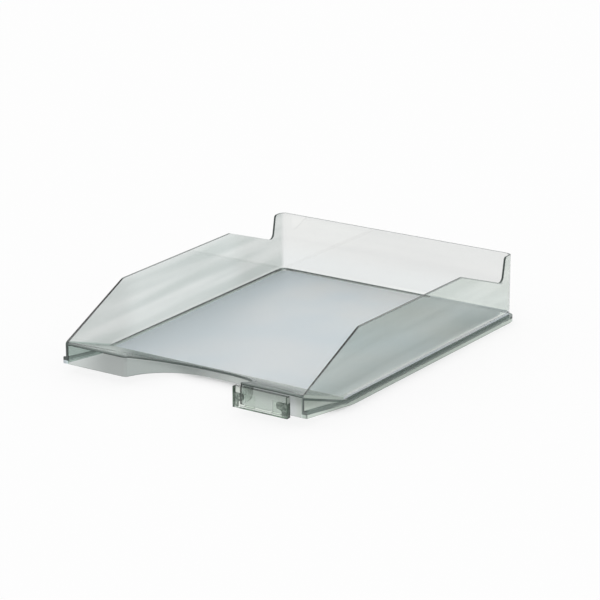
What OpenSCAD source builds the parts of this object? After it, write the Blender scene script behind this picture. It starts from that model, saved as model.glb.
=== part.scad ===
// Stackable letter tray: a clear moulded tray with a kicked-up front, a finger
// cut-out and a clip-on label holder that has a lift-out window.
// The source is drawn with y = 0 at the tray's front edge and z = 0 on the desk.
// Every node is then moved so that the origin lies at the bottom centre of the box.

/* [Tray] */
// Width over the base rim at the back
tray_w = 259; // [245:1:280]
// Width over the base rim at the front edge
front_w = 251; // [240:1:259]
// Length from the front edge to the back of the base rim
tray_l = 341; // [332:1:370]
// Height of the level wall tops above the desk
tray_h = 64; // [56:1:80]
// Height of the rear wall and its side tabs above the desk
rear_z = 63; // [56:0.5:64]
// Thickness of the walls, the floor and the front apron
wall_t = 2; // [1.6:0.1:2.4]
// Outer radius of the two rear corners, seen from above
corner_r = 6.5; // [5:0.5:14]

/* [Side walls] */
// Height of the front lip above the desk
lip_z = 27.5; // [22:0.5:30]
// Distance from the front edge to the start of the level wall top
level_y0 = 82; // [60:1:110]
// Distance from the front edge to the end of the level wall top
level_y1 = 248; // [200:1:270]
// Distance from the front edge to the stacking notch
notch_y = 320; // [300:0.5:321]
// Height of the notch above the desk
notch_z = 39.5; // [34:0.5:50]
// Distance from the front edge to the top of the rear tabs
tab_y = 324.5; // [323:0.5:330]

/* [Base rim] */
// Step of the rim outside the walls
rim_out = 3; // [2.4:0.1:3.5]
// Height of the rim
rim_h = 5.5; // [5:0.1:7]
// Thickness of the rim's solid ledge
ledge_t = 2.8; // [1.8:0.1:3]
// Thickness of the skirt that hangs from the ledge
skirt_t = 2; // [1.4:0.1:2]

/* [Kicked-up front] */
// Height of the floor above the desk
floor_z = 7.8; // [6:0.1:9]
// Distance from the front edge to the foot of the ramp
ramp_y = 60; // [50:1:66]
// Height of the rim's top at the front edge
kick_top_z = 14; // [10:0.5:15]
// Height of the rim's underside at the front edge
kick_bottom_z = 8.2; // [7.5:0.1:9]
// Distance from the front edge to where the rim's underside meets the desk
kick_foot_y = 70; // [66:1:85]

/* [Finger cut-out] */
// Width of the cut-out at the front edge
cut_front_w = 118; // [90:1:120]
// Width of the cut-out where its rear corners start
cut_rear_w = 101; // [90:1:104]
// Depth of the cut-out from the front edge
cut_depth = 54; // [48:1:58]
// Radius of the cut-out's rear corners
cut_r = 49.5; // [20:0.5:50]
// Radius that rounds the front lip into the cut-out
lip_r = 4; // [3:0.5:6]

/* [Label holder] */
// Width of the label holder
holder_w = 54; // [50:0.5:58]
// Height of the label holder
holder_h = 18.2; // [17:0.2:19]
// Distance from the tray's middle to the holder's nearer end
holder_x = 55.7; // [54:0.1:57]
// Height of the holder's underside above the desk
holder_z = 6.3; // [5:0.1:6.3]
// Thickness of the holder's plates
plate_t = 1.2; // [1:0.1:1.4]
// Width of each end bracket
bracket_w = 10.5; // [8:0.5:12]
// Height of each end bracket
bracket_h = 13; // [10:0.5:15]
// Thickness of the label window
window_t = 0.9; // [0.7:0.1:1]

/* [Hidden] */
$fn = 96;

// Clearance between pieces that slide on each other
gap = 0.4;
// Points on each rounded corner of a side profile
arc_n = 10;
// Overreach of cutting shapes
over = 10;
// Radii that round the wall tops, from the front slope to the rear tabs
slope_r = 8;
level_r = 10;
notch_r = 5;
tab_r = 3;

front_hw = front_w / 2 - rim_out;
wall_l = tray_l - rim_out;
// How far each side wall moves outwards for each millimetre towards the back
splay = (tray_w - front_w) / 2 / tray_l;
splay_len = norm([1, splay]);
ledge_z = rim_h - ledge_t;
kick_ledge_z = kick_top_z - ledge_t;
deck_z = floor_z - wall_t;

// The holder's layers, from the apron forwards, all at y < 0
back_y = -gap - plate_t;
card_room = 0.9;
window_y = back_y - card_room - window_t;
bracket_y = window_y - gap - plate_t;
// The two clips behind the apron
clip_w = 9;
clip_inset = 9;
clip_t = 1.2;
clip_h = 11;
// Lower edge of the apron's back
apron_foot_z = kick_bottom_z * (1 - wall_t / kick_foot_y);
// A claw widens from its narrow foot to its head between these shares of its height
neck_low = 0.45;
neck_high = 0.6;
claw_r = 1.5;

// The box runs from the brackets' front to the rim's back
mid_y = (bracket_y + tray_l) / 2;

function unit(v) = v / norm(v);

function turn(from, to) =
    let (d = to - from)
    d > 180 ? d - 360 : d < -180 ? d + 360 : d;

// Points of an arc of radius r that rounds the corner b between a and c
function corner_arc(a, b, c, r) =
    r == 0 ? [b] :
    let (u = unit(a - b))
    let (v = unit(c - b))
    let (half = acos(u * v) / 2)
    let (centre = b + unit(u + v) * r / sin(half))
    let (p = b + u * r / tan(half) - centre)
    let (q = b + v * r / tan(half) - centre)
    let (start = atan2(p.y, p.x))
    let (sweep = turn(start, atan2(q.y, q.x)))
    [for (i = [0 : arc_n])
        let (angle = start + sweep * i / arc_n)
        centre + r * [cos(angle), sin(angle)]];

// A polygon whose corners, given as [x, y, radius], are rounded
function rounded(c) =
    let (n = len(c))
    [for (i = [0 : n - 1])
        let (a = c[(i + n - 1) % n])
        let (b = c[i])
        let (d = c[(i + 1) % n])
        each corner_arc([a.x, a.y], [b.x, b.y], [d.x, d.y], b.z)];

// Extrudes a side profile, drawn as (y, z), along the whole width
module along_x() {
    rotate([90, 0, 90]) linear_extrude(tray_w, center = true) children();
}

module place() {
    translate([0, -mid_y, 0]) children();
}

// Half width of the walls' outer face at a distance y from the front edge
function half_w(y) = front_hw + splay * y;

// Plan of the walls' outer face, moved inwards by inset and forwards by front
module plan(inset, front = 0) {
    r = corner_r - inset;
    rear = wall_l - inset;
    centre_x = half_w(rear - r) - (inset + r) * splay_len;
    side_x = half_w(-front) - inset * splay_len;
    tangent = [centre_x, rear - r] + r * [1, -splay] / splay_len;
    for (s = [0, 1]) mirror([s, 0]) {
        polygon([[0, -front], [side_x, -front], tangent, [centre_x, rear - r],
            [centre_x, rear], [0, rear]]);
        translate([centre_x, rear - r]) circle(r);
    }
}

// Plan of the finger cut-out, grown by out
module cut_plan(out) {
    fw = cut_front_w / 2 + out;
    rw = cut_rear_w / 2 + out;
    depth = cut_depth + out;
    r = cut_r + out;
    polygon(rounded([[-fw - over, -over, 0], [fw + over, -over, 0], [fw + over, out, 0],
        [fw, out, lip_r - out], [rw, depth, r], [-rw, depth, r],
        [-fw, out, lip_r - out], [-fw - over, out, 0]]));
}

// Side walls and rear wall, down to the rim's ledge
module walls() {
    side = rounded([[0, lip_z, 0], [level_y0, tray_h, slope_r], [level_y1, tray_h, level_r],
        [notch_y, notch_z, notch_r], [tab_y, rear_z, tab_r], [tray_l, rear_z, 0],
        [tray_l, ledge_z, 0], [ramp_y, ledge_z, 0], [0, kick_ledge_z, 0]]);
    intersection() {
        linear_extrude(tray_h) difference() {
            plan(0);
            plan(wall_t, over);
        }
        along_x() polygon(side);
    }
}

// Floor and front ramp in one sheet, with the finger cut-out
module deck() {
    side = [[0, lip_z], [ramp_y, floor_z], [wall_l, floor_z], [wall_l, deck_z],
        [ramp_y, deck_z], [0, lip_z - wall_t]];
    difference() {
        intersection() {
            linear_extrude(tray_h) plan(wall_t / 2);
            along_x() polygon(side);
        }
        linear_extrude(tray_h) cut_plan(0);
    }
}

// Front apron, and the skirt that follows the finger cut-out
module apron() {
    side = [[0, lip_z], [ramp_y, floor_z], [kick_foot_y + over, floor_z],
        [kick_foot_y + over, 0], [kick_foot_y, 0], [0, kick_bottom_z]];
    intersection() {
        linear_extrude(tray_h) difference() {
            union() {
                translate([-front_hw, 0]) square([2 * front_hw, wall_t]);
                intersection() {
                    cut_plan(wall_t);
                    translate([-front_hw, 0]) square([2 * front_hw, wall_l]);
                }
            }
            cut_plan(0);
        }
        along_x() polygon(side);
    }
}

// Rim round the foot of the sides and the back: a ledge with a skirt below it
module rim() {
    ledge = [[0, kick_top_z], [ramp_y, rim_h], [tray_l, rim_h], [tray_l, ledge_z],
        [ramp_y, ledge_z], [0, kick_ledge_z]];
    skirt = [[0, kick_top_z], [ramp_y, rim_h], [tray_l, rim_h], [tray_l, 0],
        [kick_foot_y, 0], [0, kick_bottom_z]];
    intersection() {
        linear_extrude(tray_h) difference() {
            plan(-rim_out);
            plan(wall_t, over);
        }
        along_x() polygon(ledge);
    }
    intersection() {
        linear_extrude(tray_h) difference() {
            plan(-rim_out);
            plan(skirt_t - rim_out, over);
        }
        along_x() polygon(skirt);
    }
    // Closed front ends of the rim
    for (s = [-1, 1]) translate([s * front_hw, wall_t / 2, (kick_top_z + kick_bottom_z) / 2])
        cube([2 * rim_out, wall_t, kick_top_z - kick_bottom_z], center = true);
}

module tray() {
    color([0.72, 0.78, 0.76, 0.6]) place() {
        walls();
        deck();
        apron();
        rim();
    }
}

module label_holder() {
    color([0.66, 0.74, 0.70, 0.7]) place() translate([holder_x, 0, holder_z]) {
        // Back plate and the shelf that the card and the window stand on
        translate([0, back_y, 0]) cube([holder_w, plate_t, holder_h]);
        translate([0, bracket_y, 0]) cube([holder_w, -gap - bracket_y, plate_t]);
        end_bracket();
        translate([holder_w, 0, 0]) mirror([1, 0, 0]) end_bracket();
        clip();
        translate([holder_w, 0, 0]) mirror([1, 0, 0]) clip();
    }
}

// One end of the holder: an end wall and the claw in front of the window
module end_bracket() {
    claw = rounded([[0, 0, 0], [bracket_w / 2, 0, 0],
        [bracket_w / 2, bracket_h * neck_low, claw_r], [bracket_w, bracket_h * neck_high, claw_r],
        [bracket_w, bracket_h, claw_r], [0, bracket_h, 0]]);
    translate([0, bracket_y, 0]) cube([plate_t, -gap - bracket_y, holder_h]);
    translate([0, bracket_y + plate_t, 0]) rotate([90, 0, 0]) linear_extrude(plate_t) polygon(claw);
}

// One clip: a foot under the apron and a leg behind it
module clip() {
    foot_z = apron_foot_z - gap - clip_t - holder_z;
    leg_y = wall_t + gap;
    translate([clip_inset, 0, foot_z]) {
        translate([0, back_y, 0]) cube([clip_w, leg_y + clip_t - back_y, clip_t]);
        translate([0, leg_y, 0]) cube([clip_w, clip_t, clip_h]);
    }
}

module label_window() {
    side_gap = plate_t + gap;
    color([0.80, 0.86, 0.83, 0.5]) place()
        translate([holder_x + side_gap, window_y, holder_z + side_gap])
        cube([holder_w - 2 * side_gap, window_t, holder_h - side_gap]);
}

tray();
label_holder();
label_window();
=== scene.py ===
"""Looks of the stackable letter tray: clear smoke-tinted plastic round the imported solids."""

import math
from functools import cached_property

import bmesh
import bpy
from mathutils import Matrix, Vector


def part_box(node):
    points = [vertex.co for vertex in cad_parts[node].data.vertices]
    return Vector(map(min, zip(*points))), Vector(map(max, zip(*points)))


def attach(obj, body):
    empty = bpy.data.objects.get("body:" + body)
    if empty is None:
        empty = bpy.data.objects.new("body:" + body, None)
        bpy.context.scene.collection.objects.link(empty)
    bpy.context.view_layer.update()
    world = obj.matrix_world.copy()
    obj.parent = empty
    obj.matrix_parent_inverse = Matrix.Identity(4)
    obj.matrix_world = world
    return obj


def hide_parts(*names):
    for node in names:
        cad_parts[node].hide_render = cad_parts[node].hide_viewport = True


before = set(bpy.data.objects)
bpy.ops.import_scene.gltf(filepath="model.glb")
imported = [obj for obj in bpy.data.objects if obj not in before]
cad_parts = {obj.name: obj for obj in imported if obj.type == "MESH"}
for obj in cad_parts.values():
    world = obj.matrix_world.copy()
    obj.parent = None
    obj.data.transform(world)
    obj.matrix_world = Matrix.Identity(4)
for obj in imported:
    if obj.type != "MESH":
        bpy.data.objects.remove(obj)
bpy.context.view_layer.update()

scene = bpy.context.scene

# ---------------------------------------------------------------- camera
AZIMUTH = math.radians(33.662)
ELEVATION = math.radians(17.796)
ROLL = math.radians(-0.088)
CAMERA_AT = Vector((1.2087, -1.8041, 0.7393))
FOCAL_PX = 2584.4
IMAGE_PX = 600
SENSOR_MM = 36.0
CLIP_NEAR = 0.05
CLIP_FAR = 60.0


def make_camera():
    """The photo's camera: where it stands, where it looks, and its slight roll."""
    right = Vector((math.cos(AZIMUTH), math.sin(AZIMUTH), 0))
    level = math.cos(ELEVATION)
    back = Vector((math.sin(AZIMUTH) * level, -math.cos(AZIMUTH) * level, math.sin(ELEVATION)))
    up = back.cross(right)
    rolled_right = math.cos(ROLL) * right + math.sin(ROLL) * up
    rolled_up = math.cos(ROLL) * up - math.sin(ROLL) * right
    data = bpy.data.cameras.new("camera")
    data.sensor_width = SENSOR_MM
    data.lens = FOCAL_PX * SENSOR_MM / IMAGE_PX
    data.clip_start = CLIP_NEAR
    data.clip_end = CLIP_FAR
    camera = bpy.data.objects.new("camera", data)
    scene.collection.objects.link(camera)
    place = Matrix((rolled_right, rolled_up, back)).transposed().to_4x4()
    place.translation = CAMERA_AT
    camera.matrix_world = place
    scene.camera = camera


make_camera()


# ---------------------------------------------------------------- dimensions
# Boxes of the CAD nodes in the frame, in metres
TRAY_LOW, TRAY_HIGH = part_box("tray")
HOLDER_LOW, HOLDER_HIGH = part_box("label_holder")

# part.scad's y starts at the tray's front edge, and the frame's in the middle
MID_Y = -TRAY_LOW.y
TRAY_L = TRAY_HIGH.y - TRAY_LOW.y
WALL_H = TRAY_HIGH.z

# Sizes of part.scad that the frame's boxes don't give. Heights are over the desk, and a
# distance whose name ends in _Y is behind the front edge.
FRONT_W = 0.251  # over the rims in front
REAR_W = 0.259  # over the rims at the rear
RIM_OUT = 0.003  # how far the rim stands outside the walls
RIM_TOP = 0.0055
KICK_TOP = 0.014  # top of the rim at the front edge, where it kicks up
LEDGE_T = 0.0028  # thickness of the rim's ledge
WALL_T = 0.002  # thickness of the walls, the floor, the ramp and the apron
LIP_Z = 0.0275
RAMP_Y = 0.060  # foot of the ramp that rises to the lip
DECK_TOP = 0.0078  # top of the floor behind the ramp
LEVEL_Y0 = 0.082  # start of the walls' level stretch
LEVEL_Y1 = 0.248  # end of the walls' level stretch
NOTCH_Y = 0.320  # the stacking notch, where the walls are lowest
NOTCH_Z = 0.0395
CUT_HALF = 0.059  # half the width of the finger cut-out at the lip
PLATE_T = 0.0012  # thickness of the label holder's plates
CLAW_Y = -0.0036  # between the window and the claws that stand in front of it

SPLAY = (REAR_W - FRONT_W) / 2 / TRAY_L  # how much wider half the tray gets with each metre
INNER_HALF = FRONT_W / 2 - RIM_OUT - WALL_T  # half the width between the walls in front
REAR_FACE = TRAY_HIGH.y - RIM_OUT - WALL_T  # the frame's y of the rear wall's inner face

# Forms and outlines that only the looks have
LIP_R = 0.0016  # rounding of the lip
FOOT_R = 0.0012  # fillet where the walls stand on the floor and the ramp
FROST_INSET = 0.0045  # clear margin between the frosting and the walls
FROST_R = 0.008  # radius of the frosting's rear corners
FROST_TURNS = 4  # straight lines round each of those corners
FOOT_HIGHLIGHT_STRIP = (0.0067, 0.0088)  # heights of the strip along the floor, painted bright as a highlight with the frosted material
RAMP_SHADE_STRIP = (-0.0018, 0.0008)  # the same strip along the ramp, from the ramp's top, painted dark as shade
REAR_SPLIT_X = 0.040  # the rear wall's foot is frosted to the right of this

# How close to a surface counts as on it
NEAR = 1e-4
VERY_NEAR = 1e-5
ROOM = 1.1  # a form's size times this takes the whole form in
# The part of a normal along an axis from which a face counts as facing that way
FACING = 0.99
MOSTLY_FACING = 0.9
LEVEL = 0.999
# Signed angles between the faces at an edge: the lip is sharper, and a foot more hollow
LIP_ANGLE = math.radians(60)
FOOT_ANGLE = math.radians(-10)


# ---------------------------------------------------------------- places on the tray
def drawn(co):
    """A point of the frame with y measured from the tray's front edge, as in part.scad."""
    return Vector((co.x, co.y + MID_Y, co.z))


def inner_half(y):
    """Half the width between the side walls' inner faces."""
    return INNER_HALF + SPLAY * y


def deck_top(y):
    """Height of the top of the ramp, and of the floor behind it."""
    return max(DECK_TOP, LIP_Z + (DECK_TOP - LIP_Z) * y / RAMP_Y)


def on_deck(edge):
    points = [drawn(v.co) for v in edge.verts]
    up = max(f.normal.z for f in edge.link_faces)
    return up > MOSTLY_FACING and all(abs(p.z - deck_top(p.y)) < NEAR for p in points)


def lip_edge(edge):
    """Where the ramp's top ends on the apron and on the cut-out."""
    return on_deck(edge) and edge.calc_face_angle_signed() > LIP_ANGLE


def foot_edge(edge):
    """Where a wall stands on the floor or the ramp."""
    return on_deck(edge) and edge.calc_face_angle_signed() < FOOT_ANGLE


def is_front(face):
    """On the tray's front face, where the apron, the walls and the rim end."""
    return face.normal.y < -FACING and drawn(face.calc_center_median()).y < VERY_NEAR


def is_floor(face):
    c = drawn(face.calc_center_median())
    return face.normal.z > LEVEL and abs(c.z - DECK_TOP) < NEAR


def is_right_wall(face):
    """On the outer face of the right wall."""
    c = drawn(face.calc_center_median())
    return face.normal.x > FACING and abs(c.x - WALL_T - inner_half(c.y)) < NEAR


def is_painted_foot_strip(face):
    """On the outer face of the right wall, level with the floor or the ramp: a strip painted as a
    highlight by the floor and as shade by the ramp.
    """
    c = drawn(face.calc_center_median())
    if c.y < RAMP_Y:
        low, high = (deck_top(c.y) + v for v in RAMP_SHADE_STRIP)
    else:
        low, high = FOOT_HIGHLIGHT_STRIP
    return is_right_wall(face) and low < c.z < high


def is_rear_foot(face):
    """On the rounded foot of the rear wall, or on the strip of floor before it."""
    c = face.calc_center_median()
    over_floor = c.z - DECK_TOP
    rounded = REAR_FACE - FOOT_R < c.y < REAR_FACE and VERY_NEAR < over_floor < FOOT_R
    return rounded or (is_floor(face) and c.y > REAR_FACE - FROST_INSET)


# ---------------------------------------------------------------- splitting faces
def cut(bm, chosen, plane_co, plane_no):
    """Splits the chosen faces along a plane."""
    geom = {}  # a set's order would change from run to run, and the mesh's with it
    for f in (f for f in bm.faces if chosen(f)):
        geom.update(dict.fromkeys((f, *f.edges, *f.verts)))
    bmesh.ops.bisect_plane(bm, geom=list(geom), plane_co=plane_co, plane_no=plane_no)


def split_front(bm):
    """Splits the front face where the side walls and the rim's ledge end on it."""
    for x in (-INNER_HALF, INNER_HALF):
        cut(bm, is_front, (x, 0, 0), (1, 0, 0))
    for s in (-1, 1):
        cut(
            bm,
            lambda f: is_front(f) and s * f.calc_center_median().x > INNER_HALF,
            (0, 0, KICK_TOP - LEDGE_T),
            (0, 0, 1),
        )


def frost_sides():
    """Normals and offsets, in x and y, of the lines round the frosted part of the floor."""
    sides = [(0.0, -1.0, MID_Y - RAMP_Y)]
    rear = REAR_FACE - FROST_INSET
    half = inner_half(rear + MID_Y) - FROST_INSET
    for s in (-1, 1):
        for step in range(FROST_TURNS + 1):
            turn = math.radians(90 * step / FROST_TURNS)
            n = (s * math.cos(turn), math.sin(turn))
            if step == 0:
                n = (s / math.hypot(1, SPLAY), -SPLAY / math.hypot(1, SPLAY))
            reach = s * (half - FROST_R) * n[0] + (rear - FROST_R) * n[1] + FROST_R
            sides.append((*n, reach))
    return sides


def in_frost(point):
    return all(nx * point.x + ny * point.y < reach for nx, ny, reach in frost_sides())


def split_frost(bm):
    """Outlines the parts with the frosted material: the floor, the right wall's painted foot strip
    and the rear foot.
    """
    for nx, ny, reach in frost_sides():
        cut(bm, is_floor, (nx * reach, ny * reach, 0), (nx, ny, 0))
    for z in FOOT_HIGHLIGHT_STRIP:
        cut(bm, is_right_wall, (0, 0, z), (0, 0, 1))
    for z in RAMP_SHADE_STRIP:
        cut(bm, is_right_wall, (0, -MID_Y, LIP_Z + z), (0, LIP_Z - DECK_TOP, RAMP_Y))
    cut(bm, is_rear_foot, (REAR_SPLIT_X, 0, 0), (1, 0, 0))


# ---------------------------------------------------------------- which material a face has
# The frosted material also paints the strip along the right wall's foot: a highlight by the floor,
# shade by the ramp.
WALL, EDGE, FROSTED_AND_PAINTED_LIGHT, RAMP = range(4)
PLATE, HOLDER_EDGE, CLAW, CLIP = range(4)

# Parts of a face's normal: the tops of the walls have little x and some z, and the ramp's
# top, which leans back, some y
LITTLE_X = 0.02
SOME_Z = 0.1
SOME_Y = 0.2
TOPS_OVER_DECK = 0.003
EDGE_AREA = 3e-5  # square metres: the edges of the holder's plates are smaller


def tray_slot(face):
    """WALL, EDGE, FROSTED_AND_PAINTED_LIGHT or RAMP. The lip's rounding is EDGE from the start."""
    n = face.normal
    c = drawn(face.calc_center_median())
    over_deck = c.z - deck_top(c.y)
    wall_top = abs(n.x) < LITTLE_X and n.z > SOME_Z and over_deck > TOPS_OVER_DECK
    wall_end = n.y < -FACING and c.y < NEAR and abs(c.x) > INNER_HALF
    ramp_top = MOSTLY_FACING < n.z < FACING and n.y > SOME_Y and abs(over_deck) < 2 * NEAR
    by_left_wall = c.y < RAMP_Y and -inner_half(c.y) < c.x < FOOT_R - inner_half(c.y)
    # The fillet by the left wall along the ramp gets the dark edge material, as painted shade.
    shaded_left_fillet = by_left_wall and VERY_NEAR < over_deck < ROOM * FOOT_R
    if face.material_index == EDGE:
        return EDGE
    # The strip along the right wall's foot and the rear foot on the right get the frosted material;
    # on the strip it is painted highlight and shade.
    if is_painted_foot_strip(face) or (is_rear_foot(face) and c.x > REAR_SPLIT_X):
        return FROSTED_AND_PAINTED_LIGHT
    if is_floor(face):
        return FROSTED_AND_PAINTED_LIGHT if in_frost(face.calc_center_median()) else WALL
    if wall_top:
        return EDGE
    if wall_end:
        return EDGE if c.z > KICK_TOP - LEDGE_T else FROSTED_AND_PAINTED_LIGHT
    if ramp_top:
        return RAMP
    return EDGE if shaded_left_fillet else WALL


def holder_slot(face):
    """PLATE, HOLDER_EDGE for the edges and the outer ends, CLAW, or CLIP behind the apron."""
    n = face.normal
    c = drawn(face.calc_center_median())
    if c.y > 0:
        return CLIP
    in_end = min(abs(c.x - HOLDER_LOW.x), abs(c.x - HOLDER_HIGH.x)) < ROOM * PLATE_T
    if in_end and abs(n.x) > MOSTLY_FACING:
        outer = n.x * (c.x - (HOLDER_LOW.x + HOLDER_HIGH.x) / 2) > 0
        return HOLDER_EDGE if outer else CLAW
    if c.y < CLAW_Y:
        return CLAW
    return HOLDER_EDGE if face.calc_area() < EDGE_AREA else PLATE


# ---------------------------------------------------------------- pieces
MERGE = 2e-6  # points closer than this are one
FLAT_ANGLE = math.radians(0.4)  # faces at less than this to each other are one
SHARP_ANGLE = math.radians(35)  # edges from this on are shaded sharp
BIG_FACES_FIRST = 100  # how much a big face's normal outweighs a small one's


def cad_shape(cad_node):
    """A CAD node's mesh as a bmesh of whole flat faces."""
    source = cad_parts[cad_node].data
    bm = bmesh.new()
    verts = [bm.verts.new(v.co) for v in source.vertices]
    for face in source.polygons:
        bm.faces.new([verts[i] for i in face.vertices])
    bmesh.ops.remove_doubles(bm, verts=bm.verts, dist=MERGE)
    bmesh.ops.dissolve_limit(bm, angle_limit=FLAT_ANGLE, verts=bm.verts, edges=bm.edges)
    bm.normal_update()
    return bm


def round_edges(bm, chosen, radius, segments, material):
    bmesh.ops.bevel(
        bm,
        geom=[e for e in bm.edges if chosen(e)],
        offset=radius,
        offset_type="OFFSET",
        segments=segments,
        profile=0.5,
        affect="EDGES",
        clamp_overlap=False,
        material=material,
    )
    bm.normal_update()


def order_faces(bm):
    """Sorts the faces by their points. Bevels and cuts order them anew on each run."""
    bm.verts.index_update()
    for i, f in enumerate(sorted(bm.faces, key=lambda f: [v.index for v in f.verts])):
        f.index = i
    bm.faces.sort()


def moulding(name, cad_node, body, bm, slot_of=None):
    """A smooth-shaded piece made of bm, which rides on a body and replaces a CAD node."""
    for f in bm.faces:
        f.smooth = True
        if slot_of:
            f.material_index = slot_of(f)
    mesh = bpy.data.meshes.new(name)
    bm.to_mesh(mesh)
    bm.free()
    ob = bpy.data.objects.new(name, mesh)
    scene.collection.objects.link(ob)
    mesh.set_sharp_from_angle(angle=SHARP_ANGLE)
    flat = ob.modifiers.new("flat faces", "WEIGHTED_NORMAL")
    flat.keep_sharp = True
    flat.weight = BIG_FACES_FIRST
    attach(ob, body)
    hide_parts(cad_node)
    return ob


def make_tray():
    bm = cad_shape("tray")
    split_front(bm)
    bm.normal_update()
    round_edges(bm, lip_edge, LIP_R, segments=5, material=EDGE)
    round_edges(bm, foot_edge, FOOT_R, segments=4, material=WALL)
    split_frost(bm)
    order_faces(bm)
    return moulding("tray_moulding", "tray", "tray", bm, tray_slot)


def make_holder():
    bm = cad_shape("label_holder")
    return moulding("holder_moulding", "label_holder", "holder", bm, holder_slot)


def make_window():
    bm = cad_shape("label_window")
    return moulding("window_sheet", "label_window", "window", bm)


tray = make_tray()
holder = make_holder()
window = make_window()


# ---------------------------------------------------------------- node helpers
def node(nt, kind, values=None, **props):
    """A new node with its properties set and its inputs set or linked."""
    n = nt.nodes.new(kind)
    for k, v in props.items():
        setattr(n, k, v)
    for k, v in (values or {}).items():
        if hasattr(v, "is_output"):
            nt.links.new(v, n.inputs[k])
        else:
            n.inputs[k].default_value = v
    return n


def math_node(nt, op, *values):
    return node(nt, "ShaderNodeMath", dict(enumerate(values)), operation=op).outputs[0]


# Sockets of a Mix node that mixes colours
MIX_INPUTS = (0, 6, 7)
MIX_RESULT = 2
# The absorption's colour stays off black by this factor
ABSORPTION_ROOM = 1.25


class Shader:
    """A material's node tree, with the position on the piece at hand.

    Its methods make nodes and return their outputs. A share is a value from 0 to 1.
    """

    def __init__(self, name):
        self.mat = bpy.data.materials.new(name)
        self.mat.use_nodes = True
        self.nt = self.mat.node_tree
        self.nt.nodes.clear()
        self.where = node(self.nt, "ShaderNodeTexCoord").outputs["Object"]
        axes = node(self.nt, "ShaderNodeSeparateXYZ", {"Vector": self.where}).outputs
        self.x, self.y, self.z = axes["X"], axes["Y"], axes["Z"]

    def add(self, a, b):
        return math_node(self.nt, "ADD", a, b)

    def sub(self, a, b):
        return math_node(self.nt, "SUBTRACT", a, b)

    def mul(self, *values):
        """The product of two or more values."""
        product = values[0]
        for value in values[1:]:
            product = math_node(self.nt, "MULTIPLY", product, value)
        return product

    def low(self, a, b):
        return math_node(self.nt, "MINIMUM", a, b)

    def high(self, a, b):
        return math_node(self.nt, "MAXIMUM", a, b)

    def size(self, a):
        return math_node(self.nt, "ABSOLUTE", a)

    def line(self, a, slope, start):
        """A straight line over a, from start where a is 0."""
        return math_node(self.nt, "MULTIPLY_ADD", a, slope, start)

    def step(self, value, start, end, low=0.0, high=1.0):
        """A smooth step of value, from low at start to high at end."""
        values = {"Value": value, "From Min": start, "From Max": end, "To Min": low, "To Max": high}
        n = node(self.nt, "ShaderNodeMapRange", values, interpolation_type="SMOOTHSTEP")
        return n.outputs[0]

    def ease(self, share, low, high):
        """From low where share is 0 to high where it is 1."""
        return self.step(share, 0.0, 1.0, low, high)

    def band(self, value, start, end, soft):
        """The share of the values from start to end, with soft borders."""
        return self.mul(
            self.step(value, start - soft, start + soft),
            self.step(self.sub(value, end), soft, -soft),
        )

    def blend(self, share, a, b):
        """A colour between a, where share is 0, and b."""
        n = node(self.nt, "ShaderNodeMix", data_type="RGBA")
        for i, v in zip(MIX_INPUTS, (share, a, b)):
            if hasattr(v, "is_output"):
                self.nt.links.new(v, n.inputs[i])
            else:
                n.inputs[i].default_value = (*v, 1)
        return n.outputs[MIX_RESULT]

    def noise(self, scale, stretch=(1, 1, 1), detail=2.0):
        """Noise with scale waves in a metre, times the stretch along each axis."""
        v = node(self.nt, "ShaderNodeMapping", {"Vector": self.where, "Scale": stretch}).outputs[0]
        n = node(self.nt, "ShaderNodeTexNoise", {"Vector": v, "Scale": scale, "Detail": detail})
        return n.outputs["Fac"]

    def uneven(self, scale, strength, distance, detail=2.0):
        """The normal of a surface that isn't quite even."""
        height = self.noise(scale, detail=detail)
        values = {"Height": height, "Strength": strength, "Distance": distance}
        return node(self.nt, "ShaderNodeBump", values).outputs[0]

    def plastic(self, colour, roughness, normal, takes, clear=1.0, gloss=0.5, ior=1.55):
        """Clear plastic. takes says how much red, green and blue it absorbs in a metre."""
        glass = node(
            self.nt,
            "ShaderNodeBsdfPrincipled",
            {
                "Base Color": colour,
                "Roughness": roughness,
                "IOR": ior,
                "Transmission Weight": clear,
                "Specular IOR Level": gloss,
                "Normal": normal,
            },
        )
        density = ABSORPTION_ROOM * max(takes)
        tint = [1 - v / density for v in takes]
        volume = node(
            self.nt, "ShaderNodeVolumeAbsorption", {"Color": (*tint, 1), "Density": density}
        )
        node(
            self.nt,
            "ShaderNodeOutputMaterial",
            {"Surface": glass.outputs[0], "Volume": volume.outputs[0]},
        )
        return self.mat


# ---------------------------------------------------------------- places in the tray's materials
# What the smoke-tinted plastic takes from red, green and blue in a metre
SMOKE_TAKES = (16.0, 12.0, 14.0)

# Each pair is where a share is 0 and where it is 1, in metres
RIGHT = (-0.02, 0.02)  # x
ON_WALL = (0.0008, 0.0004)  # inwards of the side walls' inner faces
PAST_WALL = (-0.0006, -0.0012)  # inwards of the side and rear walls' inner faces
ON_APRON = (0.0025, 0.0022)  # behind the front edge
KICK = (0.055, 0.035)  # behind the front edge, where the rim kicks up
ON_RAMP = (RAMP_Y + 0.006, RAMP_Y)  # behind the front edge


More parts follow.
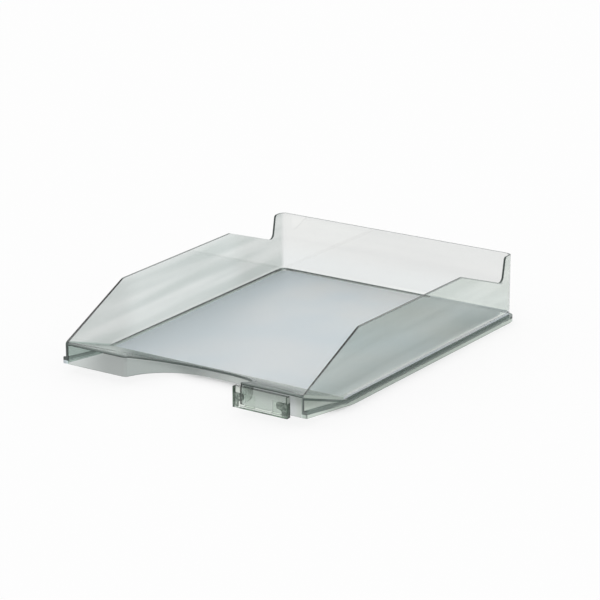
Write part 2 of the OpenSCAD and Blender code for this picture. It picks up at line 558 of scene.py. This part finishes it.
class TrayShader(Shader):
    """A material of the tray, with the places that its tints follow."""

    @cached_property
    def front(self):
        """Distance behind the tray's front edge."""
        return self.add(self.y, MID_Y)

    @cached_property
    def side(self):
        """Distance inwards of the nearer side wall's inner face."""
        return self.sub(self.line(self.front, SPLAY, INNER_HALF), self.size(self.x))

    @cached_property
    def rear(self):
        """Distance before the rear wall's inner face."""
        return self.sub(REAR_FACE, self.y)

    def over(self, at_lip, at_floor):
        """Height over a line from at_lip, at the front edge, to at_floor, at the ramp's foot."""
        slope = (at_floor - at_lip) / RAMP_Y
        return self.sub(self.z, self.high(at_floor, self.line(self.front, slope, at_lip)))

    @cached_property
    def over_deck(self):
        """Height over the top of the floor and the ramp."""
        return self.over(LIP_Z, DECK_TOP)

    @cached_property
    def over_rim(self):
        """Height over the top of the rim."""
        return self.over(KICK_TOP, RIM_TOP)

    @cached_property
    def under_deck(self):
        """Distance below the underside of the floor and the ramp."""
        return self.sub(0.0, self.over(LIP_Z - WALL_T, DECK_TOP - WALL_T))

    @cached_property
    def wall_top(self):
        """Height of the side walls' tops."""
        rise = (WALL_H - LIP_Z) / LEVEL_Y0
        fall = (NOTCH_Z - WALL_H) / (NOTCH_Y - LEVEL_Y1)
        sloping = self.line(self.front, rise, LIP_Z)
        falling = self.line(self.front, fall, WALL_H - fall * LEVEL_Y1)
        return self.low(WALL_H, self.low(sloping, falling))

    @cached_property
    def right(self):
        """The right half."""
        return self.step(self.x, *RIGHT)

    @cached_property
    def on_wall(self):
        """The side walls, on both faces, and the rim outside them."""
        return self.step(self.side, *ON_WALL)

    @cached_property
    def past_wall(self):
        """The solid rim and the floor's end, beyond the walls' inner faces."""
        return self.step(self.low(self.side, self.rear), *PAST_WALL)

    @cached_property
    def on_apron(self):
        """The front apron, on both faces."""
        return self.step(self.front, *ON_APRON)

    @cached_property
    def kick(self):
        """The front stretch, where the rim kicks up."""
        return self.step(self.front, *KICK)

    @cached_property
    def on_ramp(self):
        """The stretch with the ramps."""
        return self.step(self.front, *ON_RAMP)

    @cached_property
    def right_ramp(self):
        """The right half of that stretch."""
        return self.mul(self.on_ramp, self.right)


# ---------------------------------------------------------------- the tray's walls and their painted light and shade
# Streaks along the walls: waves in a metre along each axis, and the two values of the
# noise between which a streak goes from its first tint to its second
WALL_STREAKS = (5.0, 5.0, 75.0)
STREAK_RANGE = (0.3, 0.7)
# Tints of the streaks, dark and light. Painted shade darkens the left wall's front and rear ends.
LEFT_TINTS = ((0.665, 0.715, 0.70), (0.83, 0.86, 0.85))
LEFT_END_SHADE_TINTS = ((0.59, 0.63, 0.615), (0.755, 0.775, 0.765))
RIGHT_TINTS = ((0.765, 0.81, 0.775), (0.885, 0.92, 0.89))
REAR_TINTS = ((0.86, 0.86, 0.855), (0.90, 0.90, 0.89))
# Painted light on the rear wall low down
REAR_LOW_LIGHT_TINT = (0.915, 0.93, 0.93)
FRONT_END = (0.110, 0.070)  # behind the front edge
REAR_END = (0.24, 0.28)  # behind the front edge
REAR_WALL = (0.002, 0.0005)  # before the rear wall's inner face
REAR_LOW = (0.040, 0.015)  # height


def wall_tint(s):
    """The streaky tint of the side walls and the rear wall, each with its own painted light and
    shade.
    """
    streak = s.step(s.noise(1.0, WALL_STREAKS, detail=1.0), *STREAK_RANGE)
    ends = s.high(s.step(s.front, *FRONT_END), s.step(s.front, *REAR_END))
    dark, light = (
        s.blend(s.right, s.blend(ends, left, left_end), right)
        for left, left_end, right in zip(LEFT_TINTS, LEFT_END_SHADE_TINTS, RIGHT_TINTS)
    )
    rear = s.blend(s.step(s.z, *REAR_LOW), s.blend(streak, *REAR_TINTS), REAR_LOW_LIGHT_TINT)
    return s.blend(s.step(s.rear, *REAR_WALL), s.blend(streak, dark, light), rear)


# A painted highlight along the walls' feet by the floor, and painted shade by the left ramp
FOOT_HIGHLIGHT_TINT = (0.97, 0.985, 0.975)
RAMP_FOOT_SHADE_TINT = (0.42, 0.49, 0.46)
FOOT_BOTTOM = -0.0006  # over the deck, as the tops are
FOOT_TOP = 0.0030
RAMP_FOOT_TOP = 0.0016
FOOT_SOFT = 0.0006
LEFT_FOOT_SHARE = 0.25


def foot(s):
    """The walls' feet: a painted highlight along the floor, painted shade along the left ramp."""
    top = s.ease(s.on_ramp, FOOT_TOP, RAMP_FOOT_TOP)
    share = s.high(s.on_ramp, s.ease(s.right, LEFT_FOOT_SHARE, 1.0))
    share = s.mul(share, s.band(s.over_deck, FOOT_BOTTOM, top, FOOT_SOFT))
    share = s.mul(share, s.ease(s.right_ramp, 1.0, 0.0))
    return share, s.blend(s.on_ramp, FOOT_HIGHLIGHT_TINT, RAMP_FOOT_SHADE_TINT)


# Painted shade of the apron on both sides of the cut-out, each from left to right
LEFT_APRON_SHADE_TINTS = ((0.65, 0.68, 0.67), (0.44, 0.465, 0.455))
RIGHT_APRON_SHADE_TINTS = ((0.70, 0.725, 0.73), (0.59, 0.63, 0.60))
LEFT_APRON = (-0.115, -0.075)  # x
RIGHT_APRON = (0.110, 0.119)  # x


def apron(s):
    """The front apron's painted shade, darkest beside the cut-out on its left part."""
    left = s.blend(s.step(s.x, *LEFT_APRON), *LEFT_APRON_SHADE_TINTS)
    right = s.blend(s.step(s.x, *RIGHT_APRON), *RIGHT_APRON_SHADE_TINTS)
    return s.on_apron, s.blend(s.right, left, right)


LIP_SHADE_TINT = (0.40, 0.46, 0.42)
LIP_DEPTH_AT_CUT = 0.0040  # below the lip's top, as the next two are
LIP_DEPTH_AT_WALL = 0.0022
LIP_DARKEST = 0.0012
LIP_BAND_X = (0.03, 0.05)  # x


def lip_shade_band(s):
    """Painted shade where the lip's thickness shows through the right apron, more towards the
    cut-out.
    """
    low = s.step(s.x, CUT_HALF, INNER_HALF, LIP_Z - LIP_DEPTH_AT_CUT, LIP_Z - LIP_DEPTH_AT_WALL)
    share = s.mul(s.on_apron, s.step(s.z, low, LIP_Z - LIP_DARKEST))
    return s.mul(share, s.step(s.x, *LIP_BAND_X)), LIP_SHADE_TINT


CUT_SKIRT_SHADE_TINT = (0.44, 0.48, 0.465)
CUT_SKIRT_LEFT = (-0.008, -0.040)  # x
CUT_SKIRT_UNDER = (0.0004, 0.0008)  # under the deck
CUT_SKIRT_SIDE = (0.003, 0.004)  # inwards of the side walls
CUT_SKIRT_FRONT = (0.0022, 0.0025)  # behind the front edge


def cut_skirt_shade(s):
    """Painted shade on the left part of the cut-out's skirt."""
    share = s.mul(
        s.step(s.under_deck, *CUT_SKIRT_UNDER),
        s.step(s.x, *CUT_SKIRT_LEFT),
        s.step(s.side, *CUT_SKIRT_SIDE),
        s.step(s.front, *CUT_SKIRT_FRONT),
    )
    return share, CUT_SKIRT_SHADE_TINT


LEFT_HOLLOW_SHADE_TINT = (0.55, 0.64, 0.60)
RIGHT_HOLLOW_SHADE_TINT = (0.66, 0.73, 0.67)
HOLLOW = (0.0, 0.0004)  # under the deck


def hollow(s):
    """Painted shade on the side walls and the rim, lower than the floor and the ramps."""
    share = s.mul(s.on_wall, s.step(s.under_deck, *HOLLOW))
    return share, s.blend(s.right, LEFT_HOLLOW_SHADE_TINT, RIGHT_HOLLOW_SHADE_TINT)


TOP_LINE_SHADE_TINT = (0.45, 0.49, 0.47)
TOP_LINE_END = (NOTCH_Y, NOTCH_Y - 0.002)  # behind the front edge
TOP_LINE = (0.0012, 0.0008)  # below the wall's top


def top_line_shade(s):
    """A thin line of painted shade under the right wall's top edge."""
    share = s.mul(s.on_wall, s.step(s.front, *TOP_LINE_END))
    share = s.mul(share, s.step(s.sub(s.wall_top, s.z), *TOP_LINE))
    return s.mul(share, s.right), TOP_LINE_SHADE_TINT


DEEP_SHADE_TINT = (0.07, 0.10, 0.09)
LEDGE_BAND = (-0.0016, 0.0002)  # over the rim, as the next is
KICK_BAND = (-0.0026, 0.0006)
DECK_END_BAND = (-0.0027, -0.0012)  # over the deck, as the next is
RAMP_END_BAND = (-0.0040, -0.0018)
BAND_SOFT = 0.0003


def deep_shade(s):
    """Painted shade on the rim's ledge and the ends of the floor and the ramps, where light runs
    far.
    """
    kick_band = s.mul(s.kick, s.band(s.over_rim, *KICK_BAND, BAND_SOFT))
    ledge = s.high(s.band(s.over_rim, *LEDGE_BAND, BAND_SOFT), kick_band)
    deck_end = s.mul(s.band(s.over_deck, *DECK_END_BAND, BAND_SOFT), s.sub(1.0, s.right_ramp))
    ramp_end = s.mul(s.band(s.over_deck, *RAMP_END_BAND, BAND_SOFT), s.right_ramp)
    return s.mul(s.past_wall, s.high(ledge, s.high(deck_end, ramp_end))), DEEP_SHADE_TINT


def tray_wall():
    """The clear plastic, with each tint of painted light and shade laid over those before it."""
    s = TrayShader("smoke_clear")
    colour = wall_tint(s)
    for layer in (foot, apron, lip_shade_band, cut_skirt_shade, hollow, top_line_shade, deep_shade):
        share, tint = layer(s)
        colour = s.blend(share, colour, tint)
    normal = s.uneven(scale=30.0, strength=0.04, distance=0.002)
    return s.plastic(colour, roughness=0.02, normal=normal, takes=SMOKE_TAKES)


# ---------------------------------------------------------------- the tray's other materials
# The cut edges are painted dark as shade, and parts of them lighter
EDGE_SHADE_TINTS = ((0.13, 0.16, 0.15), (0.20, 0.24, 0.22))
FRONT_LIP_TINT = (0.33, 0.38, 0.36)
FRONT_LIP = (0.0035, 0.0025)  # behind the front edge
BETWEEN_WALLS = (INNER_HALF, INNER_HALF - 0.001)  # x, on either side
WALL_END_TINT = (0.30, 0.35, 0.33)
WALL_END_FRONT = (0.0012, 0.0008)  # behind the front edge
WALL_END_X = (0.1200, 0.1204)  # x
REAR_TOP_TINT = (0.72, 0.76, 0.75)
REAR_TOP = (REAR_FACE - 0.0002, REAR_FACE + 0.0004)  # y in the frame


def tray_edge():
    """The cut edges, painted dark as shade. The lip, the right wall's end and the rear wall's top
    are painted lighter.
    """
    s = TrayShader("smoke_edge")
    colour = s.blend(s.noise(90.0), *EDGE_SHADE_TINTS)
    lip = s.mul(s.step(s.front, *FRONT_LIP), s.step(s.size(s.x), *BETWEEN_WALLS))
    wall_end = s.mul(s.step(s.front, *WALL_END_FRONT), s.step(s.x, *WALL_END_X))
    colour = s.blend(lip, colour, FRONT_LIP_TINT)
    colour = s.blend(wall_end, colour, WALL_END_TINT)
    colour = s.blend(s.step(s.y, *REAR_TOP), colour, REAR_TOP_TINT)
    normal = s.uneven(scale=200.0, strength=0.1, distance=0.0005)
    return s.plastic(colour, roughness=0.25, normal=normal, takes=SMOKE_TAKES, clear=0.5)


FROST_TINTS = ((0.93, 0.975, 1.0), (0.98, 1.0, 1.0))  # in front, and painted lighter at the rear
FROST_REAR = (0.0, 0.12)  # y in the frame
# Blue, painted as the left wall's shade on the floor's left side, and in clouds
BLUE_TINT = (0.845, 0.93, 0.98)
RIGHT_OF_BLUE = (-0.11, -0.05)  # x
# Painted shade on the frosted strip by the right ramp and on the right front end
RIGHT_FRONT_SHADE_TINT = (0.60, 0.68, 0.62)
RIGHT_FRONT = (RAMP_Y, RAMP_Y - 0.002)  # behind the front edge
OUTSIDE_RIGHT = (INNER_HALF, INNER_HALF + 0.001)  # x


def tray_frosted_and_painted_light():
    """The frosted floor, bluer along its left side as painted shade and in clouds; on the right
    wall's foot strip it paints a highlight, and shade by the ramp.
    """
    s = TrayShader("smoke_frosted_and_painted_light")
    light = s.blend(s.step(s.y, *FROST_REAR), *FROST_TINTS)
    share = s.mul(s.step(s.noise(9.0), *STREAK_RANGE), s.step(s.x, *RIGHT_OF_BLUE))
    colour = s.blend(share, BLUE_TINT, light)
    right_front_shade = s.mul(s.step(s.front, *RIGHT_FRONT), s.step(s.x, *OUTSIDE_RIGHT))
    colour = s.blend(right_front_shade, colour, RIGHT_FRONT_SHADE_TINT)
    normal = s.uneven(scale=900.0, strength=0.3, distance=0.0003, detail=3.0)
    return s.plastic(colour, roughness=0.42, normal=normal, takes=SMOKE_TAKES, clear=0.4)


RAMP_TINT = (0.88, 0.92, 0.90)
# Painted shade for the ramp seen nearly edge-on
RAMP_SHADE_TINT = (0.10, 0.14, 0.12)
BORDER_SLANT = 0.68  # how far left the left dark part's border runs with each metre back
RIGHT_OF_BORDER = (-0.012, 0.012)
LEFT_SHEET = (0.100, 0.045)  # behind the front edge
RIGHT_SHEET = (0.064, 0.008)  # behind the front edge
LEFT_HALF = (0.02, 0.0)  # x
RIGHT_HALF = (0.0, 0.02)  # x
BY_RIGHT_WALL = (0.100, 0.119)  # x
SHARE_BY_WALL = 0.4
EDGE_ON = (0.75, 0.92)  # how edge-on, from 0 to 1


def tray_ramp():
    """The ramp's top, with painted shade: seen nearly edge-on, the sheet is painted as dark as its
    cut edges.
    """
    s = TrayShader("smoke_ramp")
    border = s.line(s.front, BORDER_SLANT, CUT_HALF)
    left = s.mul(s.step(s.add(border, s.x), *RIGHT_OF_BORDER), s.step(s.front, *LEFT_SHEET))
    right = s.mul(s.step(s.x, *RIGHT_HALF), s.step(s.front, *RIGHT_SHEET))
    right = s.mul(right, s.step(s.x, *BY_RIGHT_WALL, 1.0, SHARE_BY_WALL))
    share = s.high(s.mul(left, s.step(s.x, *LEFT_HALF)), right)
    facing = node(s.nt, "ShaderNodeLayerWeight", {"Blend": 0.5}).outputs["Facing"]
    colour = s.blend(s.mul(share, s.step(facing, *EDGE_ON)), RAMP_TINT, RAMP_SHADE_TINT)
    normal = s.uneven(scale=300.0, strength=0.2, distance=0.0005)
    return s.plastic(
        colour, roughness=0.25, normal=normal, takes=SMOKE_TAKES, clear=0.8, gloss=0.15
    )


# ---------------------------------------------------------------- the holder and its window
# What the clear plastic takes from red, green and blue in a metre
CLEAR_TAKES = (22.0, 13.0, 20.0)
PLATE_STREAKS = (20.0, 20.0, 120.0)
PLATE_TINTS = ((0.885, 0.915, 0.885), (0.925, 0.95, 0.925))
# The holder's edges are painted dark as shade, lighter at one end
HOLDER_EDGE_SHADE_TINTS = ((0.10, 0.13, 0.11), (0.20, 0.24, 0.21))
LIGHT_EDGE_TINT = (0.72, 0.77, 0.73)
LIGHT_EDGE_X = (0.085, 0.090)  # x
LIGHT_EDGE_Z = (0.0186, 0.0200)  # height
CLAW_SHADE_TINTS = ((0.22, 0.26, 0.24), (0.55, 0.60, 0.56))
MOTTLE_RANGE = (0.35, 0.65)
CLIP_TINTS = ((0.95, 0.98, 0.95), (0.98, 1.0, 0.97))
CLIP_IOR = 1.15
WINDOW_TINTS = ((0.97, 1.0, 0.96), (0.99, 1.0, 0.98))


def holder_clear():
    s = Shader("holder_clear")
    streak = s.step(s.noise(1.0, PLATE_STREAKS, detail=1.0), *STREAK_RANGE)
    colour = s.blend(streak, *PLATE_TINTS)
    normal = s.uneven(scale=60.0, strength=0.05, distance=0.001)
    return s.plastic(colour, roughness=0.03, normal=normal, takes=CLEAR_TAKES)


def holder_edge():
    """The holder's edges and outer ends, painted dark as shade. The right end of its top edge is
    painted lighter.
    """
    s = Shader("holder_edge")
    colour = s.blend(s.noise(120.0), *HOLDER_EDGE_SHADE_TINTS)
    light_edge = s.mul(s.step(s.x, *LIGHT_EDGE_X), s.step(s.z, *LIGHT_EDGE_Z))
    colour = s.blend(light_edge, colour, LIGHT_EDGE_TINT)
    normal = s.uneven(scale=200.0, strength=0.1, distance=0.0005)
    return s.plastic(colour, roughness=0.2, normal=normal, takes=CLEAR_TAKES, clear=0.5)


# The claws, painted dark as shade, in mottles
def holder_claw():
    s = Shader("holder_claw")
    mottle = s.step(s.noise(260.0, detail=3.0), *MOTTLE_RANGE)
    colour = s.blend(mottle, *CLAW_SHADE_TINTS)
    normal = s.uneven(scale=300.0, strength=0.3, distance=0.0005)
    return s.plastic(colour, roughness=0.15, normal=normal, takes=CLEAR_TAKES, clear=0.85)


def holder_clip():
    """The clips behind the apron, with little refraction, because the photo doesn't show them."""
    s = Shader("holder_clip")
    colour = s.blend(s.step(s.noise(80.0), *STREAK_RANGE), *CLIP_TINTS)
    normal = s.uneven(scale=60.0, strength=0.05, distance=0.001)
    return s.plastic(colour, roughness=0.03, normal=normal, takes=CLEAR_TAKES, ior=CLIP_IOR)


def window_clear():
    s = Shader("window_clear")
    colour = s.blend(s.step(s.noise(80.0), *STREAK_RANGE), *WINDOW_TINTS)
    normal = s.uneven(scale=60.0, strength=0.05, distance=0.001)
    return s.plastic(colour, roughness=0.05, normal=normal, takes=CLEAR_TAKES)


# In the order of WALL to RAMP and of PLATE to CLIP
for piece, makers in (
    (tray, (tray_wall, tray_edge, tray_frosted_and_painted_light, tray_ramp)),
    (holder, (holder_clear, holder_edge, holder_claw, holder_clip)),
    (window, (window_clear,)),
):
    for make in makers:
        piece.data.materials.append(make())


# ---------------------------------------------------------------- floor and light
PAPER_HALF = 12.0
PAPER_Z = -0.0002
PAPER_LEVEL = 0.985
# What mirrors the paper to the right or in front of the tray sees it past its lit part
LIT_X = (0.152, 0.138)
LIT_FRONT = (-0.30, -0.10)  # y in the frame
LIT_REAR = (0.12, 0.22)  # y in the frame
UNLIT_IN_MIRROR = 0.2
LIT_IN_MIRROR = 0.9
# Under the tray the paper shows more of the tray's shadow than round it
LEFT_SHIFT_X = (-0.01, -0.06)
LEFT_SHIFT = 0.022  # the shaded part starts this much further back on the left
UNDER_X = (0.150, 0.110)  # on either side
UNDER_FRONT = (-0.145, -0.105)  # y in the frame
UNDER_REAR = (0.190, 0.150)  # y in the frame
SHADED_REAR = (0.0, 0.13)  # y in the frame
GLOW_UNDER_FRONT = 0.35
GLOW_UNDER_REAR = 0.55
GLOW_ROUND_TRAY = 0.88


def mirrored(nt, path):
    """Whether a ray has been mirrored on its way."""
    return math_node(nt, "GREATER_THAN", path["Glossy Depth"], 0.5)


def paper_material():
    """White paper. It glows to what sees it, and keeps the tray's shadow."""
    s = Shader("floor_paper")
    path = node(s.nt, "ShaderNodeLightPath").outputs
    direct = s.add(path["Is Camera Ray"], path["Is Glossy Ray"])
    seen = s.low(s.add(direct, path["Is Transmission Ray"]), 1.0)
    lit = s.high(
        s.mul(s.step(s.x, *LIT_X), s.step(s.y, *LIT_FRONT)),
        s.step(s.y, *LIT_REAR),
    )
    in_mirror = s.ease(lit, UNLIT_IN_MIRROR, LIT_IN_MIRROR)
    level = s.mul(PAPER_LEVEL, s.ease(mirrored(s.nt, path), 1.0, in_mirror))
    shifted = s.sub(s.y, s.step(s.x, *LEFT_SHIFT_X, 0.0, LEFT_SHIFT))
    under = s.mul(
        s.step(s.size(s.x), *UNDER_X),
        s.mul(s.step(shifted, *UNDER_FRONT), s.step(s.y, *UNDER_REAR)),
    )
    shaded = s.step(s.y, *SHADED_REAR, GLOW_UNDER_FRONT, GLOW_UNDER_REAR)
    share = s.mul(seen, s.ease(under, GLOW_ROUND_TRAY, shaded))
    paper = node(s.nt, "ShaderNodeBsdfDiffuse", {"Color": level}).outputs[0]
    glow = node(s.nt, "ShaderNodeEmission", {"Color": (1, 1, 1, 1), "Strength": level}).outputs[0]
    both = node(s.nt, "ShaderNodeMixShader", {0: share, 1: paper, 2: glow}).outputs[0]
    node(s.nt, "ShaderNodeOutputMaterial", {"Surface": both})
    return s.mat


def make_floor():
    """The paper that the tray stands on."""
    mesh = bpy.data.meshes.new("floor")
    signs = ((-1, -1), (1, -1), (1, 1), (-1, 1))
    corners = [(x * PAPER_HALF, y * PAPER_HALF, PAPER_Z) for x, y in signs]
    mesh.from_pydata(corners, [], [(0, 1, 2, 3)])
    mesh.materials.append(paper_material())
    ob = bpy.data.objects.new("floor", mesh)
    scene.collection.objects.link(ob)


# In what the tray mirrors, the studio fades from white to dark towards the front, between
# these y of a ray's direction
STUDIO_FADE = (-0.1, 0.35)
STUDIO_DARK = 0.25


def make_world():
    """An evenly white studio."""
    world = bpy.data.worlds.new("studio")
    scene.world = world
    world.use_nodes = True
    nt = world.node_tree
    nt.nodes.clear()
    ray = node(nt, "ShaderNodeTexCoord").outputs["Generated"]
    axes = node(nt, "ShaderNodeSeparateXYZ", {"Vector": ray}).outputs
    start, end = STUDIO_FADE
    values = {"Value": axes["Y"], "From Min": start, "From Max": end, "To Min": STUDIO_DARK}
    back = node(nt, "ShaderNodeMapRange", values).outputs[0]
    path = node(nt, "ShaderNodeLightPath").outputs
    values = {"Value": mirrored(nt, path), "To Min": 1.0, "To Max": back}
    level = node(nt, "ShaderNodeMapRange", values).outputs[0]
    sky = node(nt, "ShaderNodeBackground", {"Color": (1, 1, 1, 1), "Strength": level}).outputs[0]
    node(nt, "ShaderNodeOutputWorld", {"Surface": sky})


make_floor()
make_world()
scene.view_settings.view_transform = "Standard"
